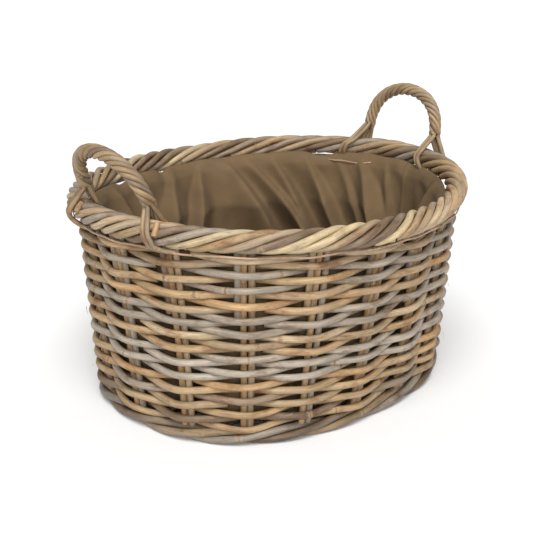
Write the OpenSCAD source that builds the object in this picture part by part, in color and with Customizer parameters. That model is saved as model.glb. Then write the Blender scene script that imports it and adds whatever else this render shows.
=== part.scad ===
// Oval log basket of woven rattan, with a rope border, two twisted handles and a fabric lining.
// Millimetres. The origin is the centre of the oval on the floor, +X runs through the handles, +Z is up.

/* [Body] */
// Half length of the stake wall at border height
top_half_len = 228; // [215:1:245]
// Half width of the stake wall at border height
top_half_wid = 198; // [185:1:212]
// Half length of the stake wall at the floor
foot_half_len = 206; // [196:1:214]
// Half width of the stake wall at the floor
foot_half_wid = 167; // [158:1:180]
// Squareness of the oval at the floor, where 2 is an ellipse
foot_squareness = 2.37; // [2:0.01:2.6]
// Height of the border's centre above the floor
border_height = 234.3; // [230:0.1:245]
// Rise of the border at the handle ends, and its dip at the long sides
saddle = 3.7; // [0:0.1:5]

/* [Wall weave] */
// Number of stake groups round the wall, always even so that a row closes
stake_groups = 18; // [16:2:20]
// Rods that stand side by side in one stake group
rods_per_group = 3; // [2:1:3]
// Diameter of a stake rod
rod_d = 7.5; // [6:0.1:8]
// Height of the lower end of the short first rod in each group
short_rod_z = 148; // [60:1:190]
// Diameter of a weaving cane
cane_d = 7.6; // [6:0.1:7.8]
// Number of woven rows
row_count = 25; // [20:1:25]
// Height from one row to the next
row_pitch = 8; // [7.9:0.05:8.1]
// Height of the lowest row
first_row_z = 21.5; // [21:0.1:22]

/* [Border] */
// Number of canes laid into the border rope
border_canes = 6; // [5:1:6]
// Diameter of a border cane
border_cane_d = 7.9; // [7:0.1:8]
// Radius of the whole border rope
border_radius = 13.3; // [13.2:0.1:14]
// Whole turns of the border rope in one trip round the rim
border_turns = 9; // [7:1:10]
// Distance of the border's centre outside the stakes
border_overhang = 7; // [5:0.5:9]

/* [Handles] */
// Radius of the handle arch, to the middle of its rope
handle_radius = 62; // [52:1:66]
// Height of the middle of the rope at the top of an arch that stands upright
handle_top = 320; // [312:1:330]
// Angle by which each handle leans out from upright
right_handle_lean = 12; // [0:1:25]
left_handle_lean = 24; // [0:1:25]
// Distance of each handle's arch outside the border's centre
right_handle_out = 14; // [-4:1:14]
left_handle_out = -2; // [-4:1:14]
// Share by which the arch draws in at its feet
handle_pinch = 0.12; // [0:0.01:0.15]
// Number of canes laid into a handle
handle_canes = 6; // [5:1:6]
// Diameter of a handle cane
handle_cane_d = 5.2; // [4.6:0.1:5.4]
// Radius of the whole handle rope
handle_rope_r = 8; // [7.8:0.1:9]
// Whole turns of the handle rope from one foot to the other
handle_turns = 3; // [2:1:4]
// Angle up the arch at which the rope parts into the legs that go round the border
handle_split = 8; // [5:1:20]

/* [Foot and base] */
// Number of canes twisted along the bottom of the wall
foot_cane_count = 3; // [2:1:3]
// Diameter of a foot cane
foot_cane_d = 7.8; // [7:0.1:7.8]
// Turns of the foot twist in one trip round the floor
foot_turns = 6; // [4:1:6]
// Height of the hoop that the basket stands on
hoop_height = 8; // [6:0.5:8]
// Width of that hoop
hoop_width = 10; // [8:0.5:14]
// Diameter of a base stick, which lies across the oval
stick_d = 8; // [6:0.5:8]
// Number of base sticks
stick_count = 9; // [7:2:11]
// Diameter of a base cane, which lies along the oval
base_cane_d = 6; // [5:0.1:6]
// Number of base canes
base_cane_count = 37; // [25:2:39]

/* [Lining] */
// Thickness of the lining cloth
lining_t = 1.6; // [1.2:0.1:2.5]
// Height of the lining's top hem
lining_top = 226; // [205:1:226]
// Width of the split cane strips that hold the lining and cover the top row
strip_w = 4; // [3:0.5:5]
// Thickness of those strips
strip_t = 1.6; // [1.2:0.1:2]

/* [Hidden] */
$fn = 48;

// Clearance between neighbouring pieces
gap = 0.35;
// Sides of a cane's section, and the number of sections along each piece
cane_sides = 6;
border_sides = 5;
border_rings = 90;
border_core_rings = 60;
foot_rings = 48;
hoop_rings = 72;
strip_rings = 60;
lining_rings = 48;
arch_rings = 20;
// Angles at which a handle cane's end goes round the border, from under it to its shoulder
wrap_angles = [-40, -5, 25, 50];
// Turn of the handle rope about itself at its feet
handle_phase = 30;

// Distance of a weaving cane's centre from the stakes, in front or behind
weave_out = (rod_d + cane_d) / 2 + gap;
// Depth of the whole wall on either side of the stakes
wall_out = weave_out + cane_d / 2;
// Length of a weaving cane's straight run across one stake group
run_len = rods_per_group * rod_d + 2;
// Radius on which the border canes lie
border_lay_r = border_radius - border_cane_d / 2;
// Radius on which the foot canes lie, and the height of the middle of their twist
foot_lay_r = (foot_cane_d + gap) / 2 / sin(180 / foot_cane_count);
foot_z = foot_lay_r + foot_cane_d / 2 + gap;
// Heights of the stakes' lower ends, the base's two layers and the lining's floor
stake_foot_z = 2 * foot_z;
stick_z = hoop_height + gap + stick_d / 2;
base_cane_z = stick_z + stick_d / 2 + gap + base_cane_d / 2;
lining_floor_z = base_cane_z + base_cane_d / 2 + gap;
// Distance of the foot hoop's outer face inside the stakes
hoop_inset = 5;
base_half_len = foot_half_len - hoop_inset - gap;
base_half_wid = foot_half_wid - hoop_inset - gap;
// Share of the base's half size out to which its sticks and canes are laid
base_fill = 0.93;
handle_centre_z = handle_top - handle_radius;
tan_light = [0.76, 0.60, 0.40];
tan_warm = [0.66, 0.47, 0.28];
cane_grey = [0.62, 0.57, 0.50];
cane_brown = [0.47, 0.36, 0.25];
row_colours = [cane_brown, tan_warm, cane_brown, tan_light, cane_grey];

function two_digits(i) = str(i < 10 ? "0" : "", i);
function mix(a, b, f) = a + (b - a) * f;
function signed_pow(v, p) = sign(v) * pow(abs(v), p);
function unit(v) = v / norm(v);

// Outward direction and point of the oval at height z; t is 0 at +X and 90 at +Y
function oval_n(z) = mix(foot_squareness, 2, z / border_height);
function oval_a(z) = mix(foot_half_len, top_half_len, z / border_height);
function oval_b(z) = mix(foot_half_wid, top_half_wid, z / border_height);
function outward(t, z) =
    let (p = 2 - 2 / oval_n(z))
    unit([oval_b(z) * signed_pow(cos(t), p), oval_a(z) * signed_pow(sin(t), p), 0]);
function oval(t, z, out = 0) =
    let (p = 2 / oval_n(z))
    [oval_a(z) * signed_pow(cos(t), p), oval_b(z) * signed_pow(sin(t), p), z] + out * outward(t, z);
function sideways(t, z) = let (d = outward(t, z)) [-d.y, d.x, 0];

// Lengths along the oval at half height, one for each degree, to space the stakes evenly
arc_steps = [for (t = [1:360]) norm(oval(t, border_height / 2) - oval(t - 1, border_height / 2))];
arc_sums = [for (i = 0, s = 0; i <= 360; s = s + (i < 360 ? arc_steps[i] : 0), i = i + 1) s];
arc_table = [for (i = [0:360]) [arc_sums[i] / arc_sums[360], i]];
function angle_at(f) = lookup(f, arc_table);
function group_angle(i) = angle_at(i / stake_groups);

// Height of a point of the rim or of a row, with the saddle that grows from floor to border
function saddled(z, t) = z + saddle * cos(2 * t) * z / border_height;
function rim(t) = oval(t, border_height, border_overhang) + [0, 0, saddled(border_height, t) - border_height];

// A tube along a path. Each ring of the section stands square to the path, with up[i] as its second axis
function tangents(path, closed) =
    let (n = len(path))
    [for (i = [0:n - 1])
        let (next = closed ? (i + 1) % n : min(i + 1, n - 1), last = closed ? (i + n - 1) % n : max(i - 1, 0))
        unit(path[next] - path[last])];
function carried(tangent, first) =
    [for (i = 0, up = first; i < len(tangent);
        i = i + 1, up = i < len(tangent) ? unit(up - tangent[i] * (up * tangent[i])) : up) up];
module sweep(path, section, closed = true, first_up = [0, 0, 1]) {
    n = len(path);
    m = len(section);
    along = tangents(path, closed);
    ups = closed ? [for (d = along) first_up] : carried(along, first_up);
    points = [for (i = [0:n - 1])
        let (up = unit(ups[i] - along[i] * (ups[i] * along[i])), across = cross(up, along[i]))
        for (s = section) path[i] + s.x * across + s.y * up];
    spans = closed ? n : n - 1;
    skin = [for (i = [0:spans - 1]) for (j = [0:m - 1])
        let (a = i * m + j, b = i * m + (j + 1) % m)
        let (c = (i + 1) % n * m + (j + 1) % m, d = (i + 1) % n * m + j)
        each [[a, c, b], [a, d, c]]];
    ends = closed ? [] : [[for (j = [0:m - 1]) j], [for (j = [m - 1:-1:0]) (n - 1) * m + j]];
    polyhedron(points, concat(skin, ends), convexity = 10);
}
function round_section(d, sides = cane_sides) =
    [for (j = [0:sides - 1]) let (a = 360 * j / sides) d / 2 * [cos(a), sin(a)]];
strip_section =
    [for (corner = [[-1, -1], [1, -1], [1, 1], [-1, 1]]) [corner.x * strip_t, corner.y * strip_w] / 2];

// Rods that stand side by side up to the border. The first is pushed in from above and ends half way down,
// and the others go down to the foot twist
module stakes(i) {
    t = group_angle(i - 1);
    top_z = saddled(border_height, t) - border_radius - gap;
    top = oval(t, border_height);
    lean = top - oval(t, 0);
    color(i % 3 == 0 ? cane_grey : tan_warm)
        for (k = [0:rods_per_group - 1])
            let (low_z = k == 0 ? short_rod_z : stake_foot_z)
            translate(top + lean * (low_z / border_height - 1)
                + sideways(t, border_height) * (k - (rods_per_group - 1) / 2) * (rod_d + gap))
                rotate([0, acos(lean.z / norm(lean)), atan2(lean.y, lean.x)])
                    cylinder(h = (top_z - low_z) * norm(lean) / lean.z, d = rod_d);
}

// One row of the wall, which passes in front of one stake group and behind the next
module weaver_row(r) {
    path = [for (i = [0:stake_groups - 1]) for (end = [-0.5, 0.5])
        let (t = group_angle(i), row_z = first_row_z + (r - 1) * row_pitch, side = (i + r) % 2 == 0 ? 1 : -1)
        oval(t, row_z, side * weave_out) + sideways(t, row_z) * end * run_len
            + [0, 0, saddled(row_z, t) - row_z]];
    color(row_colours[floor((r - 1) * len(row_colours) / row_count)])
        sweep(path, round_section(cane_d));
}

// One cane of the border, a left-handed helix round the rim
module border_cane(k) {
    path = [for (i = [0:border_rings - 1])
        let (f = i / border_rings, t = angle_at(f), a = 360 * (k / border_canes + border_turns * f))
        rim(t) + border_lay_r * (cos(a) * outward(t, border_height) + sin(a) * [0, 0, 1])];
    color(k % 3 == 0 ? tan_light : tan_warm) sweep(path, round_section(border_cane_d, border_sides));
}

// The bundle of stake tips inside the border rope
module border_core() {
    // The straight runs of the canes between their sections come nearest to the core
    nearest = border_lay_r * cos(180 * border_turns / border_rings);
    core_d = 2 * nearest - border_cane_d - 2 * gap;
    path = [for (i = [0:border_core_rings - 1]) rim(angle_at(i / border_core_rings))];
    color(cane_brown) sweep(path, round_section(core_d));
}

module outer_strip() {
    path = [for (i = [0:strip_rings - 1])
        let (t = angle_at(i / strip_rings), z = saddled(border_height, t) - border_radius - strip_w)
        oval(t, z, wall_out + gap + strip_t / 2)];
    color(tan_light) sweep(path, strip_section);
}

module inner_strip() {
    path = [for (i = [0:strip_rings - 1])
        let (t = angle_at(i / strip_rings), z = lining_top - strip_w)
        oval(t, z, -wall_out - lining_t - 2 * gap - strip_t / 2) + [0, 0, saddled(z, t) - z]];
    color(tan_light) sweep(path, strip_section);
}

// Rings of points joined into a closed skin, from the first ring to the last, with a flat face on both
module lofted(rings) {
    m = len(rings[0]);
    last = (len(rings) - 1) * m;
    skin = [for (i = [0:len(rings) - 2]) for (j = [0:m - 1])
        let (a = i * m + j, b = i * m + (j + 1) % m, c = b + m, d = a + m) each [[a, c, b], [a, d, c]]];
    polyhedron(
        [for (ring = rings) each ring],
        concat(skin, [[for (j = [0:m - 1]) j], [for (j = [m - 1:-1:0]) last + j]]),
        convexity = 6);
}
function lining_ring(z, inset) =
    [for (i = [0:lining_rings - 1])
        let (t = angle_at(i / lining_rings))
        oval(t, z, -wall_out - gap - inset) + [0, 0, z > border_height / 2 ? saddled(z, t) - z : 0]];

// A cup of cloth inside the wall, closed over the base
module lining() {
    color([0.36, 0.30, 0.20])
        lofted([
            lining_ring(lining_floor_z, 0),
            lining_ring(lining_top, 0),
            lining_ring(lining_top, lining_t),
            lining_ring(lining_floor_z + lining_t, lining_t)
        ]);
}

// One cane of a handle. Its ends go round the border and end under it: outside, where the cane starts further
// out in the rope than limit, a share of the rope's radius, and else inside
module handle_cane(k, limit, lean, stand_out) {
    lay_r = handle_rope_r - handle_cane_d / 2;
    wrap_r = border_radius + handle_cane_d / 2 + gap;
    function phase_of(j) = handle_phase + 360 * j / handle_canes;
    function side_of(j) = cos(phase_of(j)) > limit ? 1 : -1;
    phase = phase_of(k);
    side = side_of(k);
    // The canes on one side lie abreast round the border, in the order they have in the rope
    mates = [for (j = [0:handle_canes - 1]) if (side_of(j) == side) sin(phase_of(j))];
    rank = len([for (m = mates) if (m < sin(phase)) m]);
    abreast = (rank - (len(mates) - 1) / 2) * (handle_cane_d + gap);
    foot_t = asin(handle_radius / oval_b(border_height));
    foot_x = rim(foot_t).x + stand_out;
    arch = [for (i = [0:arch_rings])
        let (f = i / arch_rings, a = mix(handle_split, 180 - handle_split, f))
        let (p = phase + 360 * handle_turns * f, reach = handle_radius + lay_r * sin(p))
        [foot_x + lay_r * cos(p) * cos(lean) + reach * sin(a) * sin(lean),
            -reach * cos(a) * (1 - handle_pinch * pow(cos(a), 4)),
            handle_centre_z - lay_r * cos(p) * sin(lean) + reach * sin(a) * cos(lean)]];
    function wrap(end) = [for (b = wrap_angles)
        let (t = end * foot_t, out = side * outward(t, border_height))
        rim(t) + wrap_r * (cos(b) * out + sin(b) * [0, 0, 1])
            + end * abreast * sideways(t, border_height)];
    far = wrap(1);
    path = concat(wrap(-1), arch, [for (i = [len(far) - 1:-1:0]) far[i]]);
    sweep(path, round_section(handle_cane_d), closed = false, first_up = [0, 1, 0]);
}
module handle(limit, lean, stand_out) {
    color(tan_warm) for (k = [0:handle_canes - 1]) handle_cane(k, limit, lean, stand_out);
}

// Flat hoop inside the foot canes, whose underside is what the basket stands on
module foot_hoop() {
    function outline(inset) =
        [for (i = [0:hoop_rings - 1]) let (p = oval(angle_at(i / hoop_rings), 0, -inset)) [p.x, p.y]];
    color(cane_brown) linear_extrude(hoop_height) difference() {
        polygon(outline(hoop_inset));
        polygon(outline(hoop_inset + hoop_width));
    }
}

// Canes twisted round each other, along the bottom of the wall
module foot_canes() {
    color(cane_brown) for (k = [0:foot_cane_count - 1])
        sweep([for (i = [0:foot_rings - 1])
            let (f = i / foot_rings, t = angle_at(f), a = 360 * (k / foot_cane_count + foot_turns * f))
            oval(t, foot_z, weave_out / 2 + foot_lay_r * cos(a)) + [0, 0, foot_lay_r * sin(a)]],
            round_section(foot_cane_d));
}

// Half length of a straight cane that crosses the base at a distance u from its middle
function base_reach(u, across, along) =
    along * pow(1 - pow(abs(u) / across, foot_squareness), 1 / foot_squareness);

module base_sticks() {
    color(cane_brown) for (i = [0:stick_count - 1])
        let (x = base_half_len * base_fill * (2 * i / (stick_count - 1) - 1))
        let (reach = base_reach(x, base_half_len, base_half_wid))
        translate([x, -reach, stick_z]) rotate([-90, 0, 0]) cylinder(h = 2 * reach, d = stick_d);
}

module base_canes() {
    color(tan_warm) for (i = [0:base_cane_count - 1])
        let (y = base_half_wid * base_fill * (2 * i / (base_cane_count - 1) - 1))
        let (reach = base_reach(y, base_half_wid, base_half_len))
        translate([-reach, y, base_cane_z]) rotate([0, 90, 0]) cylinder(h = 2 * reach, d = base_cane_d);
}

foot_hoop();
foot_canes();
base_sticks();
base_canes();
for (i = [1:stake_groups]) stakes(i);
for (i = [1:row_count]) weaver_row(i);
for (i = [1:border_canes]) border_cane(i);
border_core();
outer_strip();
lining();
inner_strip();
handle(-0.1, right_handle_lean, right_handle_out);  // handle_right
rotate([0, 0, 180]) handle(0.1, left_handle_lean, left_handle_out);  // handle_left
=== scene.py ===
"""Looks of the oval rattan log basket. Metres, +Z up, +X through the handles."""
import math

import bpy
import numpy as np
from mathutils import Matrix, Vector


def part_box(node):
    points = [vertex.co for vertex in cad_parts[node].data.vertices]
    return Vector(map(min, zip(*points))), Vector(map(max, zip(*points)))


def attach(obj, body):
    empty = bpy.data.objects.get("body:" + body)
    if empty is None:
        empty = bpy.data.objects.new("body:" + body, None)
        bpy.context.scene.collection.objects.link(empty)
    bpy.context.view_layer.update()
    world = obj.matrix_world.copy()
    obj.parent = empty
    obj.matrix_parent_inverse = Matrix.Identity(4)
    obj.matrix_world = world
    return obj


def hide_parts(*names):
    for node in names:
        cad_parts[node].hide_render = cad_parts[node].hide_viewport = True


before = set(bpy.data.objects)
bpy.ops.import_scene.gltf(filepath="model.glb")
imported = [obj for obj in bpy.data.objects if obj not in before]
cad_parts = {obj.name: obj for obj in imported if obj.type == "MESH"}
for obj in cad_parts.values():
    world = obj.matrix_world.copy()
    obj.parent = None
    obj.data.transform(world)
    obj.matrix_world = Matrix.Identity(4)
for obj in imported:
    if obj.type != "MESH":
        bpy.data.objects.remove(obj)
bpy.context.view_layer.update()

# ---------------------------------------------------------------- sizes

# Stake groups and woven rows
GROUPS = sum(n.startswith("stakes_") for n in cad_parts)
ROWS = sum(n.startswith("weaver_row_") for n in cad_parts)
ROD_D = 0.0075
ROD_STEP = 0.0079
ROD_FOOT_Z = 0.0175
# How far the rods reach up into the border
ROD_REACH = 0.0006
SHORT_ROD_Z = 0.148
CANE_D = 0.0082
# How far a row swings from the middle of the stakes, and how sharply it turns there
WEAVE_OUT = 0.0084
WEAVE_BEND = 0.93
WALL_OUT = WEAVE_OUT + CANE_D / 2
BORDER_R = 0.0133
BORDER_LANES = 6
BORDER_TURNS = 9
BORDER_CANE_D = 0.0084
BORDER_OVERHANG = 0.007
CORE_R = 0.0045
# Gap between canes that lie side by side
CLEARANCE = 0.0003
FOOT_CANE_D = 0.0086
FOOT_CANES = 3
HOOP_INSET = 0.005
HOOP_R = 0.0032
STICKS = 9
BASE_CANES = 37
HANDLE_R = 0.062
HANDLE_ROPE_R = 0.008
HANDLE_CANES = 6
HANDLE_CANE_D = 0.0052
HANDLE_TURNS = 3
HANDLE_TOP = 0.320
HANDLE_PINCH = 0.12
HANDLE_SPLIT = math.radians(8)
FOOT_SQUARENESS = 2.37

hoop_high = np.array(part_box("foot_hoop")[1])
core_low, core_high = (np.array(c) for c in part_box("border_core"))
lining_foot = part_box("lining")[0][2]
BORDER_Z = (core_low[2] + core_high[2]) / 2
SADDLE = (core_high[2] - core_low[2]) / 2 - CORE_R * math.cos(math.radians(30))
TOP_HALF = core_high[:2] - CORE_R - BORDER_OVERHANG
FOOT_HALF = hoop_high[:2] + HOOP_INSET
LINING_TOP = BORDER_Z - 0.0064


def row_height(row):
    """The height of a woven row's middle in the CAD."""
    low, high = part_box(f"weaver_row_{row:02d}")
    return (low[2] + high[2]) / 2


# ---------------------------------------------------------------- the oval


def unit(v):
    return v / np.linalg.norm(v, axis=-1, keepdims=True)


def signed_pow(v, p):
    return np.sign(v) * np.abs(v) ** p


def oval_shape(z):
    """Squareness and half sizes of the stake wall at height z."""
    f = np.asarray(z, float) / BORDER_Z
    half = [FOOT_HALF[i] + (TOP_HALF[i] - FOOT_HALF[i]) * f for i in (0, 1)]
    return FOOT_SQUARENESS + (2 - FOOT_SQUARENESS) * f, half[0], half[1]


def outward(t, z):
    """The direction out of the wall at angle t and height z."""
    n, a, b = oval_shape(z)
    p = 2 - 2 / n
    x, y = b * signed_pow(np.cos(t), p), a * signed_pow(np.sin(t), p)
    return unit(np.stack([x, y, np.zeros_like(x)], -1))


def oval(t, z, out=0.0):
    """The point at angle t and height z, and out metres outside the middle of the stakes."""
    t, z, out = np.broadcast_arrays(np.asarray(t, float), np.asarray(z, float), np.asarray(out, float))
    n, a, b = oval_shape(z)
    flat = np.stack([a * signed_pow(np.cos(t), 2 / n), b * signed_pow(np.sin(t), 2 / n), z], -1)
    return flat + out[..., None] * outward(t, z)


def sideways(t, z):
    """The direction along the wall at angle t and height z."""
    d = outward(t, z)
    return np.stack([-d[..., 1], d[..., 0], np.zeros_like(d[..., 0])], -1)


DEGREES = np.radians(np.arange(361))
MIDWAY = oval(DEGREES, BORDER_Z / 2)
ARC = np.r_[0, np.cumsum(np.linalg.norm(np.diff(MIDWAY, axis=0), axis=1))]
WALL_LENGTH = ARC[-1]


def angle_at(f):
    """The angle at a share f of the way round, evenly spaced along the wall."""
    f = np.asarray(f, float)
    return np.interp(f % 1, ARC / WALL_LENGTH, DEGREES) + 2 * np.pi * np.floor(f)


def share_at(t):
    """The share of the way round at an angle, which is the inverse of angle_at."""
    return np.interp(t % (2 * np.pi), DEGREES, ARC / WALL_LENGTH)


def saddle_at(z, t):
    """How much the wall's rows rise at the ends of the oval, and dip at its sides."""
    return SADDLE * np.cos(2 * t) * z / BORDER_Z


def rim(f):
    """The middle of the border rope."""
    t = angle_at(f)
    place = oval(t, BORDER_Z, BORDER_OVERHANG)
    place[..., 2] = BORDER_Z + saddle_at(BORDER_Z, t)
    return place


def round_border(f, r, turn, side=1):
    """The point r from the border's middle, at an angle turn up from its outer side, or from its inner side
    where side is -1."""
    out = outward(angle_at(f), BORDER_Z) * side
    return rim(f) + r * (math.cos(turn) * out + np.array([0, 0, math.sin(turn)]))


# ---------------------------------------------------------------- tones


def srgb(r, g, b):
    """An 8-bit screen colour in linear light."""
    c = np.array([r, g, b]) / 255
    return np.where(c > 0.04045, ((c + 0.055) / 1.055) ** 2.4, c / 12.92)


TONES = {
    "cream": srgb(206, 184, 142),
    "light": srgb(188, 164, 130),
    "golden": srgb(180, 149, 108),
    "tan": srgb(170, 144, 109),
    "orange": srgb(182, 146, 102),
    "umber": srgb(144, 122, 98),
    "brown": srgb(126, 103, 78),
    "grey": srgb(160, 146, 128),
    "pale_grey": srgb(176, 163, 146),
    "pith": srgb(196, 172, 134),
}
# Main tone of each woven row, from the foot up
ROW_TONES = (
    "golden brown golden tan umber golden orange pale_grey pale_grey pale_grey pale_grey tan tan "
    "light grey pale_grey grey umber orange golden grey golden grey tan light"
).split()


def wander(rng, low, high, size):
    """A smooth periodic wobble of p, with p from 0 to 1 once round, made of waves low to high."""
    waves = np.arange(low, high + 1)
    heights = rng.normal(size=len(waves)) / np.sqrt(len(waves))
    phases = rng.uniform(0, 2 * np.pi, len(waves))
    return lambda p: size * np.sum(
        heights[:, None] * np.cos(2 * np.pi * waves[:, None] * np.atleast_1d(p)[None] + phases[:, None]), 0
    )


# ---------------------------------------------------------------- mesh building

# A growth knot swells the cane by this share, over this length
KNOT_SWELL = 0.055
KNOT_LENGTH = 0.004
# No knot is nearer than this to a cane's end
CLEAR_OF_ENDS = 0.01
# The knot distance where there is no knot
FAR_FROM_KNOT = 1.0


def any_phase(rng):
    return rng.uniform(0, 6.3)


def ring_axes(path, up, closed, carried):
    """The path's direction at each of its points, and the two axes across it. The second is nearest to up, or
    where carried is set, it starts there and follows the path without twist."""
    if closed:
        along = unit(np.roll(path, -1, 0) - np.roll(path, 1, 0))
    else:
        along = unit(np.gradient(path, axis=0))
    ups = np.broadcast_to(np.asarray(up, float), path.shape).copy()
    if carried:
        for i in range(1, len(path)):
            ups[i] = ups[i - 1]
            ups[i] -= along[i] * (ups[i] @ along[i])
            ups[i] /= np.linalg.norm(ups[i])
    ups = unit(ups - along * np.sum(ups * along, -1, keepdims=True))
    return along, np.cross(ups, along), ups


def knot_distance(s, knot_gap, rng):
    """How far each place s along a cane is from its nearest knot. The knots are about knot_gap apart."""
    gaps = rng.uniform(0.6, 1.4, int(s[-1] / knot_gap) + 3) * knot_gap
    knot_at = np.cumsum(gaps) - rng.uniform(0, knot_gap)
    knot_at = knot_at[(knot_at > CLEAR_OF_ENDS) & (knot_at < s[-1] - CLEAR_OF_ENDS)]
    if len(knot_at) == 0:
        return np.full(len(s), FAR_FROM_KNOT)
    knot_at = s[np.clip(np.searchsorted(s, knot_at), 0, len(s) - 1)]
    return np.min(np.abs(s[:, None] - knot_at[None]), 1)


class Canes:
    """Collects tubes with their tone, grain and knots, and makes one piece of them."""

    def __init__(self):
        self.points, self.faces, self.tones, self.grain, self.knots = [], [], [], [], []
        self.count = 0

    def add(self, path, radius, tone, rng, up=(0, 0, 1), sides=12, closed=False, carried=False,
            taper=(1, 1), knot_gap=0.3, flat=1.0):
        """Sweeps a round cane along path. up sets the ring's second axis, and carried takes it along the
        path without twist. taper scales the two ends, and flat scales the section along up."""
        path = np.asarray(path, float)
        n = len(path)
        along, across, ups = ring_axes(path, up, closed, carried)
        s = np.r_[0, np.cumsum(np.linalg.norm(np.diff(path, axis=0), axis=1))]
        slow, quick = any_phase(rng), any_phase(rng)
        radius = radius * (1 + 0.03 * np.sin(s / 0.11 + slow) + 0.012 * np.sin(s / 0.023 + quick))
        radius *= taper[0] + (taper[1] - taper[0]) * s / s[-1]
        away = knot_distance(s, knot_gap, rng)
        radius *= 1 + KNOT_SWELL * np.exp(-((away / KNOT_LENGTH) ** 2))
        turn = 2 * np.pi * np.arange(sides) / sides
        oval_way, uneven_way = any_phase(rng), any_phase(rng)
        shape = 1 + 0.025 * np.cos(2 * turn + oval_way) + 0.015 * np.cos(3 * turn + uneven_way)
        ring = np.stack([np.cos(turn) * shape, np.sin(turn) * shape], -1)
        skin = (
            path[:, None]
            + radius[:, None, None] * ring[None, :, :1] * across[:, None]
            + flat * radius[:, None, None] * ring[None, :, 1:] * ups[:, None]
        )
        tone = np.asarray(tone, float)
        shade = 1 + 0.05 * np.sin(s / 0.05 + any_phase(rng)) + rng.normal(0, 0.04)
        tones = np.broadcast_to((tone[None] * shade[:, None])[:, None], skin.shape)
        start = rng.uniform(0, 50)
        grain = np.concatenate(
            [np.broadcast_to(ring[None] * radius[:, None, None], (n, sides, 2)),
             np.broadcast_to((s + start)[:, None, None], (n, sides, 1))], -1)
        base = self.count
        index = base + np.arange(n * sides).reshape(n, sides)
        here, there = (index, np.roll(index, -1, 0)) if closed else (index[:-1], index[1:])
        quads = np.stack([here, there, np.roll(there, -1, 1), np.roll(here, -1, 1)], -1).reshape(-1, 4)
        self.faces += quads.tolist()
        self._keep(skin.reshape(-1, 3), tones.reshape(-1, 3), grain.reshape(-1, 3), np.repeat(away, sides))
        if not closed:
            for end, way in ((0, -1), (n - 1, 1)):
                self._cap(path[end], along[end] * way, skin[end], index[end], way, tone, start)

    def _keep(self, points, tones, grain, knots):
        self.points.append(points)
        self.tones.append(tones)
        self.grain.append(grain)
        self.knots.append(knots)
        self.count += len(points)

    def _cap(self, centre, way_out, ring, index, way, tone, start):
        """A cut end: a small bevel, then a flat face of pale pith."""
        last = index
        for inset, lift, colour in ((0.90, 0.0005, 0.8 * tone), (0.80, 0.0006, TONES["pith"] * 0.75),
                                    (0.35, 0.0004, TONES["pith"] * 0.6)):
            points = centre + (ring - centre) * inset + way_out * lift
            base = self.count
            grain = np.concatenate([(points - centre)[:, :2] * 3, np.full((len(points), 1), start)], -1)
            far = np.full(len(points), FAR_FROM_KNOT)
            self._keep(points, np.tile(colour, (len(points), 1)), grain, far)
            now = np.arange(base, base + len(points))
            quads = np.stack([last, now, np.roll(now, -1), np.roll(last, -1)], -1)
            self.faces += (quads if way > 0 else quads[:, ::-1]).tolist()
            last = now
        face = last.tolist()
        self.faces.append(face if way > 0 else face[::-1])

    def build(self, name, material, nodes=()):
        mesh = bpy.data.meshes.new(name)
        mesh.from_pydata(np.concatenate(self.points).tolist(), [], self.faces)
        put_attribute(mesh, "tone", "FLOAT_COLOR", np.concatenate(self.tones))
        put_attribute(mesh, "grain", "FLOAT_VECTOR", np.concatenate(self.grain))
        put_attribute(mesh, "knot", "FLOAT", np.concatenate(self.knots))
        return place_piece(mesh, name, material, nodes)


def put_attribute(mesh, name, kind, values):
    """Stores one value for each point of the mesh, for the materials to read."""
    attribute = mesh.attributes.new(name, kind, "POINT")
    values = np.asarray(values, np.float32)
    if kind == "FLOAT_COLOR":
        values = np.concatenate([np.clip(values, 0, 1), np.ones((len(values), 1), np.float32)], 1)
        attribute.data.foreach_set("color", values.ravel())
    elif kind == "FLOAT_VECTOR":
        attribute.data.foreach_set("vector", values.ravel())
    else:
        attribute.data.foreach_set("value", values.ravel())


def add_object(name, data):
    """A new object in the scene with this mesh, light or camera."""
    made = bpy.data.objects.new(name, data)
    bpy.context.scene.collection.objects.link(made)
    return made


def place_piece(mesh, name, material, nodes=()):
    """A piece of the basket that stands in for these CAD nodes."""
    mesh.polygons.foreach_set("use_smooth", [True] * len(mesh.polygons))
    mesh.update()
    piece = add_object(name, mesh)
    mesh.materials.append(material)
    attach(piece, "root")
    if nodes:
        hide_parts(*nodes)
    return piece


# ---------------------------------------------------------------- materials


def new_material(name):
    """A material with its nodes, its links and its shader."""
    material = bpy.data.materials.new(name)
    material.use_nodes = True
    tree = material.node_tree
    return material, tree.nodes, tree.links, tree.nodes["Principled BSDF"]


def node(nodes, kind, **settings):
    """A new node. A setting is an input's value, or a property where no input has its name."""
    made = nodes.new(kind)
    for key, value in settings.items():
        if key in made.inputs:
            made.inputs[key].default_value = value
        else:
            setattr(made, key.lower().replace(" ", "_"), value)
    return made


def ramp(nodes, links, source, stops):
    """A grey ramp through (position, value) stops."""
    made = nodes.new("ShaderNodeValToRGB")
    for i, (at, value) in enumerate(stops):
        stop = made.color_ramp.elements[i] if i < 2 else made.color_ramp.elements.new(at)
        stop.position, stop.color = at, (value, value, value, 1)
    links.new(source, made.inputs["Fac"])
    return made.outputs["Color"]


def mix_colour(nodes, links, blend, factor, a, b):
    """A blend of colours a and b, where each term is a socket or a value."""
    made = nodes.new("ShaderNodeMix")
    made.data_type, made.blend_type = "RGBA", blend
    for socket, value in ((made.inputs["Factor"], factor), (made.inputs["A"], a), (made.inputs["B"], b)):
        if isinstance(value, bpy.types.NodeSocket):
            links.new(value, socket)
        elif hasattr(value, "__len__"):
            socket.default_value = (*value, 1)
        else:
            socket.default_value = value
    return made.outputs["Result"]


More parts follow.
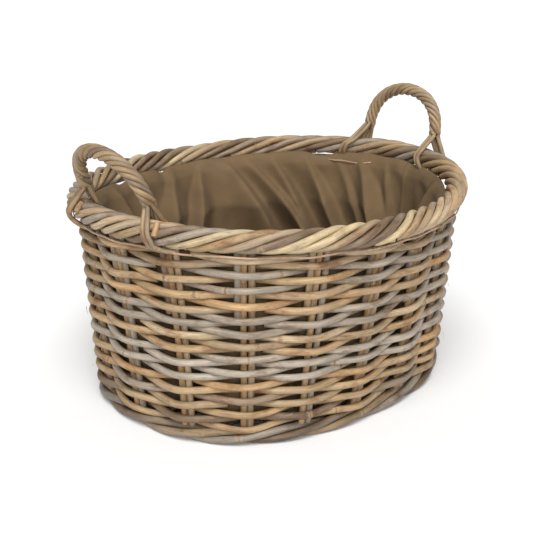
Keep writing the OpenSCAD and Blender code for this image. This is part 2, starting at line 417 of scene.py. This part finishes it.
def maths(nodes, links, operation, *terms):
    """A maths node on its terms, which are sockets or numbers."""
    made = nodes.new("ShaderNodeMath")
    made.operation = operation
    for socket, value in zip(made.inputs, terms):
        if isinstance(value, bpy.types.NodeSocket):
            links.new(value, socket)
        else:
            socket.default_value = value
    return made.outputs[0]


def stretched_noise(nodes, links, vector, stretch, scale, detail=3.0, roughness=0.55):
    """Noise whose spots are stretched along the cane."""
    squeeze = nodes.new("ShaderNodeVectorMath")
    squeeze.operation = "MULTIPLY"
    squeeze.inputs[1].default_value = (1, 1, 1 / stretch)
    links.new(vector, squeeze.inputs[0])
    noise = node(nodes, "ShaderNodeTexNoise", Scale=scale, Detail=detail, Roughness=roughness)
    links.new(squeeze.outputs[0], noise.inputs["Vector"])
    return noise.outputs["Fac"]


def rattan_material():
    """Weathered round rattan: fibres, grey bloom, stains, dark flecks, and knots with rusty bark."""
    material, nodes, links, shader = new_material("weathered_rattan")
    tone = node(nodes, "ShaderNodeAttribute", attribute_name="tone").outputs["Color"]
    grain = node(nodes, "ShaderNodeAttribute", attribute_name="grain").outputs["Vector"]
    knot = node(nodes, "ShaderNodeAttribute", attribute_name="knot").outputs["Fac"]

    fibre = stretched_noise(nodes, links, grain, 26, 950)
    fine = stretched_noise(nodes, links, grain, 40, 2600, 2.0)
    patch = stretched_noise(nodes, links, grain, 3.5, 150, 4.0, 0.6)
    fleck = stretched_noise(nodes, links, grain, 7, 800, 2.0)
    bloom = stretched_noise(nodes, links, grain, 6, 60, 2.0)
    stain = stretched_noise(nodes, links, grain, 2.2, 42, 4.0, 0.7)

    colour = mix_colour(nodes, links, "MULTIPLY", 1.0, tone,
                        ramp(nodes, links, fibre, [(0.25, 0.64), (0.75, 1.12)]))
    colour = mix_colour(nodes, links, "MULTIPLY", 0.6, colour,
                        ramp(nodes, links, fine, [(0.3, 0.72), (0.7, 1.12)]))
    colour = mix_colour(nodes, links, "MULTIPLY", 1.0, colour,
                        ramp(nodes, links, patch, [(0.32, 0.72), (0.62, 1.08)]))
    colour = mix_colour(nodes, links, "MIX", ramp(nodes, links, bloom, [(0.45, 0.0), (0.75, 0.45)]),
                        colour, srgb(164, 152, 137))
    colour = mix_colour(nodes, links, "MULTIPLY", ramp(nodes, links, stain, [(0.52, 0.0), (0.68, 0.85)]),
                        colour, srgb(178, 138, 106))
    colour = mix_colour(nodes, links, "MULTIPLY", 1.0, colour,
                        ramp(nodes, links, fleck, [(0.64, 1.0), (0.74, 0.40)]))

    # Distance from the nearest knot in centimetres, then with an uneven edge for its ring
    far = maths(nodes, links, "MULTIPLY", knot, 100.0)
    uneven = maths(nodes, links, "MULTIPLY_ADD", patch, 0.45, -0.2)
    scar = maths(nodes, links, "ADD", far, uneven)
    pale = ramp(nodes, links, scar, [(0.10, 0.40), (0.42, 0.0)])
    dark = ramp(nodes, links, scar, [(0.02, 0.55), (0.15, 1.0)])
    colour = mix_colour(nodes, links, "MIX", pale, colour, srgb(198, 174, 136))
    colour = mix_colour(nodes, links, "MULTIPLY", 1.0, colour, dark)
    spread = maths(nodes, links, "MULTIPLY_ADD", stain, 1.45, far)
    rust_edge = ramp(nodes, links, spread, [(0.84, 0.70), (1.0, 0.0)])
    rust = mix_colour(nodes, links, "MULTIPLY", 1.0, rust_edge,
                      ramp(nodes, links, fleck, [(0.36, 0.25), (0.56, 1.0)]))
    colour = mix_colour(nodes, links, "MIX", rust, colour, srgb(112, 78, 52))
    links.new(colour, shader.inputs["Base Color"])

    links.new(ramp(nodes, links, fibre, [(0.2, 0.66), (0.8, 0.42)]), shader.inputs["Roughness"])
    shader.inputs["Specular IOR Level"].default_value = 0.38
    shader.inputs["Coat Weight"].default_value = 0.08
    shader.inputs["Coat Roughness"].default_value = 0.4

    height = mix_colour(nodes, links, "ADD", 0.5, fibre, fine)
    height = mix_colour(nodes, links, "MULTIPLY", 1.0, height, dark)
    bump = node(nodes, "ShaderNodeBump", Strength=0.5, Distance=0.0004)
    links.new(height, bump.inputs["Height"])
    links.new(bump.outputs["Normal"], shader.inputs["Normal"])
    return material


def cloth_material():
    """Olive brown cotton with a fine rib, its threads, and slight fading."""
    material, nodes, links, shader = new_material("lining_cotton")
    place = node(nodes, "ShaderNodeAttribute", attribute_name="cloth").outputs["Vector"]
    threads = []
    for direction in ("X", "Y"):
        wave = node(nodes, "ShaderNodeTexWave", Scale=340.0, Distortion=1.2, Detail=2.0)
        wave.inputs["Detail Scale"].default_value = 3.0
        wave.wave_type, wave.bands_direction = "BANDS", direction
        links.new(place, wave.inputs["Vector"])
        threads.append(wave.outputs["Fac"])
    weave = mix_colour(nodes, links, "MULTIPLY", 0.7, threads[0], threads[1])
    slub = stretched_noise(nodes, links, place, 0.05, 40, 3.0)
    fade = stretched_noise(nodes, links, place, 1, 18, 3.0)
    colour = mix_colour(nodes, links, "MULTIPLY", 1.0, srgb(116, 95, 69),
                        ramp(nodes, links, weave, [(0.0, 0.80), (1.0, 1.08)]))
    for noise, darkest in ((slub, 0.88), (fade, 0.90)):
        colour = mix_colour(nodes, links, "MULTIPLY", 1.0, colour,
                            ramp(nodes, links, noise, [(0.3, darkest), (0.7, 1.06)]))
    links.new(colour, shader.inputs["Base Color"])
    shader.inputs["Roughness"].default_value = 0.85
    shader.inputs["Specular IOR Level"].default_value = 0.15
    shader.inputs["Sheen Weight"].default_value = 0.03
    shader.inputs["Sheen Roughness"].default_value = 0.5
    bump = node(nodes, "ShaderNodeBump", Strength=0.35, Distance=0.0002)
    links.new(weave, bump.inputs["Height"])
    links.new(bump.outputs["Normal"], shader.inputs["Normal"])
    return material


RATTAN = rattan_material()
CLOTH = cloth_material()


# ---------------------------------------------------------------- wall

WALL_WAVE = wander(np.random.default_rng(3), 2, 7, 0.0009)
# How far round the wall's wave shifts from one row to the next
WAVE_SHIFT = 0.02
# Rows keep their main tone in the cane that passes this group
FRONT_GROUP = 11
POINTS_PER_GROUP = 20
STAKE_TONES = (("light", "golden", "grey"), ("umber", "orange", "light"), ("grey", "orange", "tan"))


def row_path(p, row, z, own):
    """The path of a row at places p, counted in stake groups: in front of one group and behind the next."""
    f = p / GROUPS
    t = angle_at(f)
    swing = np.cos(np.pi * p) * (-1) ** row
    out = WEAVE_OUT * np.arcsin(WEAVE_BEND * swing) / math.asin(WEAVE_BEND)
    path = oval(t, z, out)
    path[:, 2] += saddle_at(z, t) + own(f) + WALL_WAVE(f + WAVE_SHIFT * row)
    return path


def cane_spans(row, rng):
    """Splits a row into canes. Each joint is at a group that the row passes behind, and some ends stop
    short of it, where they show."""
    hidden = [i for i in range(GROUPS) if (i + row) % 2]
    joints = sorted(rng.choice(hidden, size=rng.integers(2, 4), replace=False))
    spans = []
    for i, start in enumerate(joints):
        end = joints[i + 1] if i + 1 < len(joints) else joints[0] + GROUPS
        late_start = rng.choice([0.01, 0.3], p=[0.6, 0.4])
        early_end = rng.choice([0.01, 0.28], p=[0.7, 0.3])
        spans.append((start + late_start, end - early_end))
    return spans


def weave_row(row):
    """One woven row, in two or three canes."""
    rng = np.random.default_rng(100 + row)
    z = row_height(row)
    own = wander(rng, 6, 22, 0.0007)
    canes = Canes()
    main = ROW_TONES[(row - 1) * len(ROW_TONES) // ROWS]
    others = [main, main, "tan", "grey", "umber", "golden"]
    for start, end in cane_spans(row, rng):
        faces_front = start < FRONT_GROUP < end or start < FRONT_GROUP + GROUPS < end
        tone = TONES[main if faces_front else str(rng.choice(others))]
        p = np.linspace(start, end, int((end - start) * POINTS_PER_GROUP))
        radius = CANE_D / 2 * np.clip(rng.normal(1.0, 0.04), 0.92, 1.05)
        canes.add(row_path(p, row, z, own), radius, tone, rng, taper=tuple(rng.uniform(0.93, 1.0, 2)))
    canes.build(f"wall_row_{row:02d}", RATTAN, [f"weaver_row_{row:02d}"])


def stake_group(i):
    """Three rods side by side. The first is short, and its lower end shows between the rows."""
    rng = np.random.default_rng(300 + i)
    t = angle_at(i / GROUPS)
    canes = Canes()
    top = BORDER_Z + saddle_at(BORDER_Z, t) - BORDER_R + ROD_REACH
    for k, tone in enumerate(STAKE_TONES[i % 3]):
        foot = SHORT_ROD_Z + rng.uniform(-0.004, 0.004) if k == 0 else ROD_FOOT_Z
        z = np.linspace(foot, top, 44)
        path = oval(np.full_like(z, t), z) + sideways(t, BORDER_Z) * (k - 1) * ROD_STEP
        bend = rng.normal(0, 0.0004) + 0.0006 * np.sin(z / 0.04 + rng.uniform(0, 6))
        path += sideways(t, BORDER_Z) * bend[:, None]
        radius = ROD_D / 2 * rng.normal(0.97, 0.02)
        canes.add(path, radius, TONES[tone], rng, up=outward(t, BORDER_Z), knot_gap=0.16)
    canes.build(f"stake_rods_{i + 1:02d}", RATTAN, [f"stakes_{i + 1:02d}"])


def foot_rope():
    """Three canes twisted together. Each is laid in two pieces that meet at the back."""
    rng = np.random.default_rng(41)
    lay = FOOT_CANE_D / math.sqrt(3) + 0.0001
    centre_z = lay + FOOT_CANE_D / 2 + CLEARANCE
    out = 0.0018
    short_share, end_gap = 0.1, 0.002
    canes = Canes()
    for k, tone in enumerate(("brown", "grey", "tan")):
        first = 0.06 + k / 8
        joint = first + short_share
        for start, end, count in ((first, joint, 60), (joint, first + 1, 320)):
            f = np.linspace(start + end_gap, end - end_gap, count)
            a = 2 * np.pi * (k / FOOT_CANES + GROUPS / FOOT_CANES * f)
            path = oval(angle_at(f), centre_z, out + lay * np.cos(a))
            path[:, 2] += lay * np.sin(a)
            canes.add(path, FOOT_CANE_D / 2 * 0.98, TONES[tone] * 0.68, rng)
    canes.build("foot_wale", RATTAN, ["foot_canes"])


# ---------------------------------------------------------------- border

BORDER_WANDER = wander(np.random.default_rng(5), 1, 5, 0.016)
# The rope is laid tightest at this share of the way round, and gains and loses this many turns on an even one
TIGHTEST = 0.64
UNEVEN_TURNS = 0.2
BORDER_SWELL = wander(np.random.default_rng(6), 3, 9, 0.0005)
LANE_TONES = ("tan", "tan", "umber", "golden", "tan", "brown", "light", "grey")
# Border canes of pale cream, by their number round the rim
CREAM_CANES = (9, 13, 31, 35, 36, 40)
# Share of a turn left between the end of one cane and the start of the next
END_GAP = 0.018


def border_drift(f):
    """How far the rope's twist runs ahead of an even one, in turns."""
    return np.squeeze(BORDER_WANDER(f) + UNEVEN_TURNS * np.sin(2 * np.pi * (f - TIGHTEST)))


def border():
    """Each lane of the rope is a string of canes. A cane starts under the rope, or at its outer lower edge,
    goes up over the top and down inside, and ends under the rope where the next one starts."""
    lay = BORDER_R - BORDER_CANE_D / 2
    for lane in range(BORDER_LANES):
        rng = np.random.default_rng(500 + lane)
        canes = Canes()
        starts = []
        for turn in range(BORDER_TURNS):
            hidden, shown = rng.uniform(-115, -88), rng.uniform(-75, -45)
            starts.append(turn + rng.choice([hidden, shown], p=[0.88, 0.12]) / 360)
        starts = [start - border_drift((start - lane / BORDER_LANES) / BORDER_TURNS) for start in starts]
        starts.append(starts[0] + BORDER_TURNS)
        for turn in range(BORDER_TURNS):
            a = np.linspace(starts[turn], starts[turn + 1] - END_GAP, 48)
            f = (a - lane / BORDER_LANES) / BORDER_TURNS
            twist = 2 * np.pi * (a + border_drift(f))
            t = angle_at(f)
            spread = lay + BORDER_SWELL(f)
            path = rim(f) + (spread * np.cos(twist))[:, None] * outward(t, BORDER_Z)
            path[:, 2] += spread * np.sin(twist)
            place = (BORDER_LANES * turn - lane) % (BORDER_LANES * BORDER_TURNS)
            tone = "cream" if place in CREAM_CANES else str(rng.choice(LANE_TONES))
            radius = BORDER_CANE_D / 2 * rng.normal(0.99, 0.02)
            taper = tuple(rng.uniform(0.9, 1.0, 2))
            canes.add(path, radius, TONES[tone], rng, sides=14, knot_gap=0.5, taper=taper)
        canes.build(f"border_lane_{lane + 1}", RATTAN, [f"border_cane_{lane + 1}"])


def border_filling():
    """The ring that the border is wound round."""
    rng = np.random.default_rng(61)
    canes = Canes()
    f = np.linspace(0, 1, 240, endpoint=False)
    canes.add(rim(f), CORE_R * 0.96, TONES["brown"], rng, closed=True)
    canes.build("border_filling", RATTAN, ["border_core"])


def strip(name, node_name, out, z):
    """A thin split cane round the wall, out metres from its middle."""
    rng = np.random.default_rng(71)
    sway = wander(rng, 8, 30, 0.0012)
    f = np.linspace(0, 1, 400, endpoint=False)
    t = angle_at(f)
    path = oval(t, z, out(f))
    path[:, 2] += saddle_at(z, t) + sway(f)
    canes = Canes()
    canes.add(path, 0.0007, srgb(186, 152, 124), rng, closed=True, sides=8, flat=1.7, knot_gap=9)
    canes.build(name, RATTAN, [node_name])


def inner_strip_out(f):
    """The inner strip is tucked behind the hem, and comes out from under it in one place."""
    shown_at, half_shown, slope, tuck = 0.048, 0.018, 0.01, 0.0090
    tucked = tuck * np.clip((np.abs(f - shown_at) - half_shown) / slope, 0, 1)
    return -WALL_OUT - 0.0040 + tucked


def strips():
    """Split cane outside under the border, and inside over the lining's hem."""
    strip("outer_split_cane", "outer_strip", lambda f: WALL_OUT + 0.0008, BORDER_Z - BORDER_R - 0.0022)
    strip("inner_split_cane", "inner_strip", inner_strip_out, LINING_TOP - 0.0099)


# ---------------------------------------------------------------- handles

# Angle round the oval at which a foot of the arch stands
FOOT_T = math.asin(HANDLE_R / TOP_HALF[1])
ARCH_POINTS = 64
# Loose fibres in all, and those of them just under the border
FRAYS = 70
FRAYS_AT_BORDER = 45


def smooth_path(points, step=0.003):
    """A Catmull-Rom curve through the points, sampled every step."""
    points = np.asarray(points, float)
    padded = np.vstack([2 * points[0] - points[1], points, 2 * points[-1] - points[-2]])
    out = []
    for i in range(len(points) - 1):
        p0, p1, p2, p3 = padded[i:i + 4]
        count = max(2, int(np.linalg.norm(p2 - p1) / step))
        u = np.linspace(0, 1, count, endpoint=False)[:, None]
        out.append(0.5 * (2 * p1 + (p2 - p0) * u + (2 * p0 - 5 * p1 + 4 * p2 - p3) * u**2
                          + (3 * p1 - p0 - 3 * p2 + p3) * u**3))
    out.append(points[-1:])
    return np.vstack(out)


def handle_leg(way, end, side, rank, mates):
    """The stretch of one cane from under the border up to the arch. way is -1 or +1 for the foot of the arch,
    end is -1 or +1 for the end of the basket, and side is +1 outside the border and -1 inside. rank is the
    cane's place among the mates on its side, counted from their middle."""
    t = way * FOOT_T
    along = sideways(t, BORDER_Z)
    shift = way * rank * (HANDLE_CANE_D + CLEARANCE)
    # Two canes alone on a side slant along the border inside, and run on under it outside
    pair = mates == 2
    slant = (0.011 + 0.004 * way) * end if pair and side < 0 else 0
    tail = 0.018 if pair and side > 0 else 0.003
    # The legs draw in towards the narrower foot of the arch as they rise
    rising = [(-84, tail), (-66, tail * 0.4), (-40, 0), (-12, -way * 0.002), (18, -way * 0.006)]
    if side < 0:
        rising += [(48, -way * 0.009 - slant * 0.4)]
    wrap_r = BORDER_R + HANDLE_CANE_D / 2 + CLEARANCE
    return [round_border(share_at(t), wrap_r, math.radians(turn), side) + (shift + slant + on) * along
            for turn, on in rising]


def handle_arch(phase, lean, foot_x):
    """The stretch of one cane that is laid into the rope, from foot to foot."""
    lay = HANDLE_ROPE_R - HANDLE_CANE_D / 2
    a = np.linspace(HANDLE_SPLIT, math.pi - HANDLE_SPLIT, ARCH_POINTS)
    turn = phase + 2 * np.pi * HANDLE_TURNS * np.linspace(0, 1, ARCH_POINTS)
    reach = HANDLE_R + lay * np.sin(turn)
    out = lay * np.cos(turn)
    rise = reach * np.sin(a)
    drawn_in = 1 - HANDLE_PINCH * np.cos(a) ** 4
    x = foot_x + out * math.cos(lean) + rise * math.sin(lean)
    y = -reach * np.cos(a) * drawn_in
    z = HANDLE_TOP - HANDLE_R - out * math.sin(lean) + rise * math.cos(lean)
    return np.stack([x, y, z], -1)


def handle(name, node_name, end, limit, lean, stand_out, tone_factor, seed):
    """A rope of canes that parts at each foot into legs, outside and inside the border. end is +1 at +X. A
    cane goes outside where the cosine of its phase is above limit. The arch leans out by lean degrees, its
    feet stand out from the border's middle by stand_out, and a factor below one darkens all its tones."""
    rng = np.random.default_rng(seed)
    foot_x = rim(share_at(FOOT_T))[0] + stand_out
    phases = [math.radians(30 + 360 * k / HANDLE_CANES) for k in range(HANDLE_CANES)]
    sides = [1 if math.cos(phase) > limit else -1 for phase in phases]
    canes = Canes()
    for phase, side in zip(phases, sides):
        mates = [math.sin(p) for p, s in zip(phases, sides) if s == side]
        rank = sum(m < math.sin(phase) - 1e-9 for m in mates) - (len(mates) - 1) / 2
        first = handle_leg(-1, end, side, rank, len(mates))
        last = handle_leg(1, end, side, rank, len(mates))
        arch = handle_arch(phase, math.radians(lean), foot_x)
        path = smooth_path(np.vstack([first, arch, last[::-1]]), 0.0025)
        path[:, :2] *= end
        tone = TONES[str(rng.choice(["tan", "tan", "golden", "umber"]))] * rng.uniform(0.92, 1.04)
        radius = HANDLE_CANE_D / 2 * rng.normal(0.99, 0.02)
        canes.add(path, radius, tone * tone_factor, rng, up=(0, 1, 0), carried=True, knot_gap=0.25)
    canes.build(name, RATTAN, [node_name])


def pegs():
    """Short pins driven in at the feet of the left handle, beside its outer canes."""
    rng = np.random.default_rng(95)
    canes = Canes()
    for f, low, high in ((0.464, 15, 62), (0.5523, 6, 66)):
        start, end = (round_border(f, BORDER_R + 0.001, math.radians(turn)) for turn in (low, high))
        canes.add(np.linspace(start, end, 9), 0.0031, TONES["orange"], rng, knot_gap=9)
    canes.build("handle_pegs", RATTAN)


def frays():
    """Loose fibres and splinters, most of them just under the border."""
    rng = np.random.default_rng(97)
    upright = np.array([0, 0, 1])
    hairs = Canes()
    for i in range(FRAYS):
        f = rng.random()
        t = angle_at(f)
        if i < FRAYS_AT_BORDER:
            z = BORDER_Z - BORDER_R - rng.uniform(-0.001, 0.006)
        else:
            z = rng.uniform(0.02, 0.2)
        start = oval(t, z, WALL_OUT - rng.uniform(0.0, 0.002))
        start[2] += saddle_at(z, t)
        side = sideways(t, z) * rng.choice([-1, 1])
        length = rng.uniform(0.008, 0.028) * (1 if i < FRAYS_AT_BORDER else 0.5)
        droop = rng.uniform(-0.5, 0.25)
        curl = 0.35 * rng.normal(0, 0.35, 3)
        u = np.linspace(0, 1, 9)[:, None]
        path = start + length * (u * (side + droop * upright) + u**2 * curl)
        path += outward(t, z) * (0.0016 + 0.002 * rng.random() * u)
        radius = rng.uniform(0.0002, 0.00045)
        tone = TONES[str(rng.choice(["light", "umber", "tan"]))]
        hairs.add(path, radius, tone, rng, sides=5, taper=(1, 0.35), knot_gap=9)
    hairs.build("loose_fibres", RATTAN)


# ---------------------------------------------------------------- base

# Half sizes of the base at the ends of its sticks
BASE_HALF = hoop_high[:2] - 0.0004
# How far inside them the woven canes end
WEAVE_INSET = 0.0095


def base_reach(u, across, along):
    """Half the length of the base at u from its middle, where across and along are its half sizes."""
    return along * max(0.0, 1 - (abs(u) / across) ** FOOT_SQUARENESS) ** (1 / FOOT_SQUARENESS)


def base_sticks(stick_xs, stick_r, stick_z, rng):
    """Sticks across the oval, whose ends lie over the hoop."""
    canes = Canes()
    for x in stick_xs:
        y = np.linspace(-1, 1, 60) * base_reach(x, *BASE_HALF)
        path = np.stack([np.full_like(y, x), y, np.full_like(y, stick_z)], -1)
        canes.add(path, stick_r * 0.97, TONES[str(rng.choice(["brown", "umber"]))], rng)
    canes.build("base_stick_rods", RATTAN, ["base_sticks"])


def base_weave(stick_xs, stick_z, rng):
    """Canes along the oval, over one stick and under the next, that end inside the hoop."""
    low, high = (np.array(c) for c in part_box("base_canes"))
    cane_r, cane_z = (high[2] - low[2]) / 2, (low[2] + high[2]) / 2
    step = stick_xs[1] - stick_xs[0]
    inner = BASE_HALF - WEAVE_INSET
    canes = Canes()
    for j, y in enumerate(np.linspace(low[1] + cane_r, high[1] - cane_r, BASE_CANES)):
        reach = base_reach(y, *inner[::-1])
        x = np.linspace(-reach, reach, max(12, int(reach / 0.0025)))
        swing = np.cos(np.pi * (x - stick_xs[0]) / step) * (-1) ** j
        z = stick_z + (cane_z - stick_z) * np.tanh(1.6 * swing) / math.tanh(1.6)
        path = np.stack([x, np.full_like(x, y), z], -1)
        tone = TONES[str(rng.choice(["tan", "umber", "golden", "brown", "grey"]))]
        canes.add(path, cane_r * rng.normal(0.96, 0.02), tone, rng, sides=10)
    canes.build("base_weave", RATTAN, ["base_canes"])


def base_hoop(rng):
    """The flat hoop that the basket stands on."""
    canes = Canes()
    f = np.linspace(0, 1, 260, endpoint=False)
    middle_z = hoop_high[2] / 2
    path = oval(angle_at(f), middle_z, -HOOP_INSET - 0.0065)
    flat = middle_z / HOOP_R * 0.93
    canes.add(path, HOOP_R, TONES["umber"], rng, closed=True, sides=16, flat=flat)
    canes.build("base_hoop", RATTAN, ["foot_hoop"])


def base():
    """The sticks, the woven canes and the hoop under the lining."""
    low, high = (np.array(c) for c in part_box("base_sticks"))
    stick_r, stick_z = (high[2] - low[2]) / 2, (low[2] + high[2]) / 2
    stick_xs = np.linspace(low[0] + stick_r, high[0] - stick_r, STICKS)
    rng = np.random.default_rng(81)
    base_sticks(stick_xs, stick_r, stick_z, rng)
    base_weave(stick_xs, stick_z, rng)
    base_hoop(rng)


# ---------------------------------------------------------------- lining

# Folds of the cloth: place round the wall, drift as it falls, width and depth
FOLDS = [
    (0.254, 0.053, 0.030, 0.012), (0.212, 0.059, 0.024, 0.012), (0.182, -0.090, 0.034, 0.017),
    (0.161, -0.139, 0.022, 0.013), (0.133, -0.094, 0.018, 0.013), (0.098, -0.095, 0.018, 0.013),
    (0.066, -0.100, 0.020, 0.005), (0.040, -0.125, 0.030, 0.016), (0.004, -0.060, 0.018, 0.004),
    (0.300, -0.010, 0.022, 0.010), (0.345, -0.030, 0.028, 0.013), (0.400, 0.025, 0.022, 0.010),
    (0.455, -0.030, 0.026, 0.012), (0.520, 0.035, 0.022, 0.010), (0.585, -0.040, 0.028, 0.013),
    (0.640, 0.030, 0.022, 0.011), (0.710, -0.035, 0.026, 0.012), (0.775, 0.030, 0.020, 0.010),
    (0.840, -0.035, 0.026, 0.012), (0.910, 0.030, 0.020, 0.010),
]
FOLD_SCALE = 2.1
# A fold is narrower on the side that it drifts to, by this factor
STEEP_SIDE = 0.22
HEM = 0.009
HEM_T = 0.0009
# How far the top of the hem stands out to meet the border, and the height in which it does
HEM_FLARE = 0.0092
FLARE_HEIGHT = 0.014
# Where the hem hangs away from the border, and how wide, as shares of the way round
SAGS = ((0.080, 0.013), (0.262, 0.007), (0.325, 0.011))
SAG_DEPTH = 0.006
SEAM_AT = 0.972
SEAM_WIDTH = 0.0018
CLOTH_T = 0.0008
# Gap between the weave and the cloth
CLOTH_GAP = 0.0014
# Points in a ring of the cloth, rings down its side, and rings across its floor
AROUND = 520
DOWN = 60
RINGS = 16


def share_between(f, at):
    """The share of the way round from at to f, the shorter way."""
    return (f - at + 0.5) % 1 - 0.5


def fold_depth(f, fall):
    """How far the cloth stands in from the wall at share f round it. fall is 0 at the hem, 1 at the base."""
    f, fall = np.broadcast_arrays(f, fall)
    depth = np.zeros(f.shape)
    grown = np.clip((fall - 0.02) / 0.28, 0, 1) ** 0.75
    for at, drift, width, high in FOLDS:
        x = share_between(f, at + drift * fall) * WALL_LENGTH
        w = width * (0.22 + 0.85 * grown)
        w = np.where(x * drift > 0, STEEP_SIDE * w, w)
        depth += FOLD_SCALE * high * grown * np.exp(-(np.abs(x / w) ** 1.6))
    waves = 31 * f + 3.1 * fall + 0.4 * np.sin(9 * fall)
    wrinkle = np.sin(2 * np.pi * waves) * np.sin(2 * np.pi * (9 * f - fall))
    seam = 0.0016 * np.exp(-((share_between(f, SEAM_AT) * WALL_LENGTH / SEAM_WIDTH) ** 2))
    return depth + seam + 0.0011 * (0.4 + grown) * wrinkle


def lining_side(f, t, foot_z):
    """The cloth from its hem down to the base, as rings of points with their places on the flat cloth."""
    height = LINING_TOP - foot_z
    sway = wander(np.random.default_rng(88), 9, 26, 0.0008)(f)
    sag = SAG_DEPTH * sum(np.exp(-((share_between(f, at) / wide) ** 2)) for at, wide in SAGS)
    rings = []
    for i in range(DOWN):
        fall = (i / (DOWN - 1)) ** 1.15
        z = LINING_TOP - height * fall
        near_floor = np.clip((1 - fall) / 0.12, 0, 1)
        hem = HEM_T if fall * height < HEM else 0
        flare = HEM_FLARE * (1 - np.clip(fall * height / FLARE_HEIGHT, 0, 1)) ** 1.5
        folds = fold_depth(f, fall) * near_floor ** 0.5
        rounded = 0.004 * (1 - near_floor) ** 2
        ring = oval(t, z, -WALL_OUT - CLOTH_GAP - hem + flare - folds - rounded)
        ring[:, 2] += (saddle_at(z, t) + sway) * (1 - fall) - sag * (1 - fall) ** 8
        rings.append((ring, np.stack([f * WALL_LENGTH, np.full(AROUND, z), np.zeros(AROUND)], -1)))
    return rings


def lining_floor(edge, t, foot_z):
    """The cloth that lies on the base, as rings that shrink from its edge, and then its middle point."""
    level = foot_z + 0.0007
    rings = []
    for i in range(1, RINGS):
        share = 1 - i / RINGS
        ring = edge * [share, share, 1]
        ring[:, 2] = level + 0.0006 * np.sin(9 * t + 6 * share) * np.sin(np.pi * share)
        rings.append((ring, np.stack([ring[:, 0], ring[:, 1], np.zeros(AROUND)], -1)))
    rings.append((np.array([[0, 0, level]]), np.zeros((1, 3))))
    return rings


def cup_faces(ring_count):
    """Quads between the rings, and a fan from the last ring to the middle point."""
    faces = []
    for i in range(ring_count - 1):
        for j in range(AROUND):
            k = (j + 1) % AROUND
            upper, lower = i * AROUND, (i + 1) * AROUND
            faces.append((upper + j, upper + k, lower + k, lower + j))
    last, middle = (ring_count - 1) * AROUND, ring_count * AROUND
    return faces + [(last + j, last + (j + 1) % AROUND, middle) for j in range(AROUND)]


def lining():
    """A cup of cloth, held round the hem and loose below it, that lies on the base."""
    foot_z = lining_foot + CLOTH_T
    f = np.arange(AROUND) / AROUND
    t = angle_at(f)
    side = lining_side(f, t, foot_z)
    floor = lining_floor(side[-1][0], t, foot_z)
    points, cloth = zip(*side, *floor)
    mesh = bpy.data.meshes.new("lining_cloth")
    mesh.from_pydata(np.vstack(points).tolist(), [], cup_faces(len(points) - 1))
    put_attribute(mesh, "cloth", "FLOAT_VECTOR", np.vstack(cloth))
    piece = place_piece(mesh, "lining_cloth", CLOTH, ["lining"])
    thick = piece.modifiers.new("thickness", "SOLIDIFY")
    thick.thickness = CLOTH_T
    thick.offset = 0


# ---------------------------------------------------------------- studio


FLOOR_REACH = 9
FLOOR_GREY = 0.82
WORLD_STRENGTH = 0.45
# Suns: azimuth, elevation, spread and power. The key is high and a little left of the camera, and the fill is
# low and a little right of it
SUNS = {"key": (-46, 60, 34, 2.5), "fill": (-40, 22, 28, 1.5)}
CAMERA_AZIMUTH = math.radians(-44.21)
CAMERA_ELEVATION = math.radians(18.845)
CAMERA_DISTANCE = 1.378
CAMERA_AIM = np.array([0.0243, 0.0333, 0.1197])
CAMERA_LENS = 74.53


def studio_floor():
    r = FLOOR_REACH
    mesh = bpy.data.meshes.new("floor")
    mesh.from_pydata([(-r, -r, 0), (r, -r, 0), (r, r, 0), (-r, r, 0)], [], [(0, 1, 2, 3)])
    material, _, _, shader = new_material("studio_floor")
    shader.inputs["Base Color"].default_value = (FLOOR_GREY, FLOOR_GREY, FLOOR_GREY, 1)
    shader.inputs["Roughness"].default_value = 0.9
    shader.inputs["Specular IOR Level"].default_value = 0.1
    mesh.materials.append(material)
    add_object("floor", mesh)


def studio_light():
    world = bpy.data.worlds.new("studio_world")
    world.use_nodes = True
    background = world.node_tree.nodes["Background"]
    background.inputs["Color"].default_value = (1, 1, 1, 1)
    background.inputs["Strength"].default_value = WORLD_STRENGTH
    bpy.context.scene.world = world
    for name, (azimuth, elevation, spread, power) in SUNS.items():
        data = bpy.data.lights.new(name, "SUN")
        data.angle = math.radians(spread)
        data.energy = power
        light = add_object(name, data)
        light.rotation_euler = (math.pi / 2 - math.radians(elevation), 0, math.radians(azimuth))


def camera():
    level = math.cos(CAMERA_ELEVATION)
    back = np.array([math.sin(CAMERA_AZIMUTH) * level, -math.cos(CAMERA_AZIMUTH) * level,
                     math.sin(CAMERA_ELEVATION)])
    data = bpy.data.cameras.new("camera")
    data.lens = CAMERA_LENS
    data.sensor_width = 36
    made = add_object("camera", data)
    made.location = CAMERA_AIM + back * CAMERA_DISTANCE
    made.rotation_euler = (math.pi / 2 - CAMERA_ELEVATION, 0, CAMERA_AZIMUTH)
    bpy.context.scene.camera = made


camera()
studio_floor()
studio_light()
for row in range(1, ROWS + 1):
    weave_row(row)
for group in range(GROUPS):
    stake_group(group)
foot_rope()
border()
border_filling()
strips()
handle("handle_rope_right", "handle_right", 1, -0.1, 12, 0.014, 0.88, 91)
handle("handle_rope_left", "handle_left", -1, 0.1, 24, -0.002, 0.76, 92)
pegs()
frays()
base()
lining()
bpy.context.scene.view_settings.view_transform = "Standard"
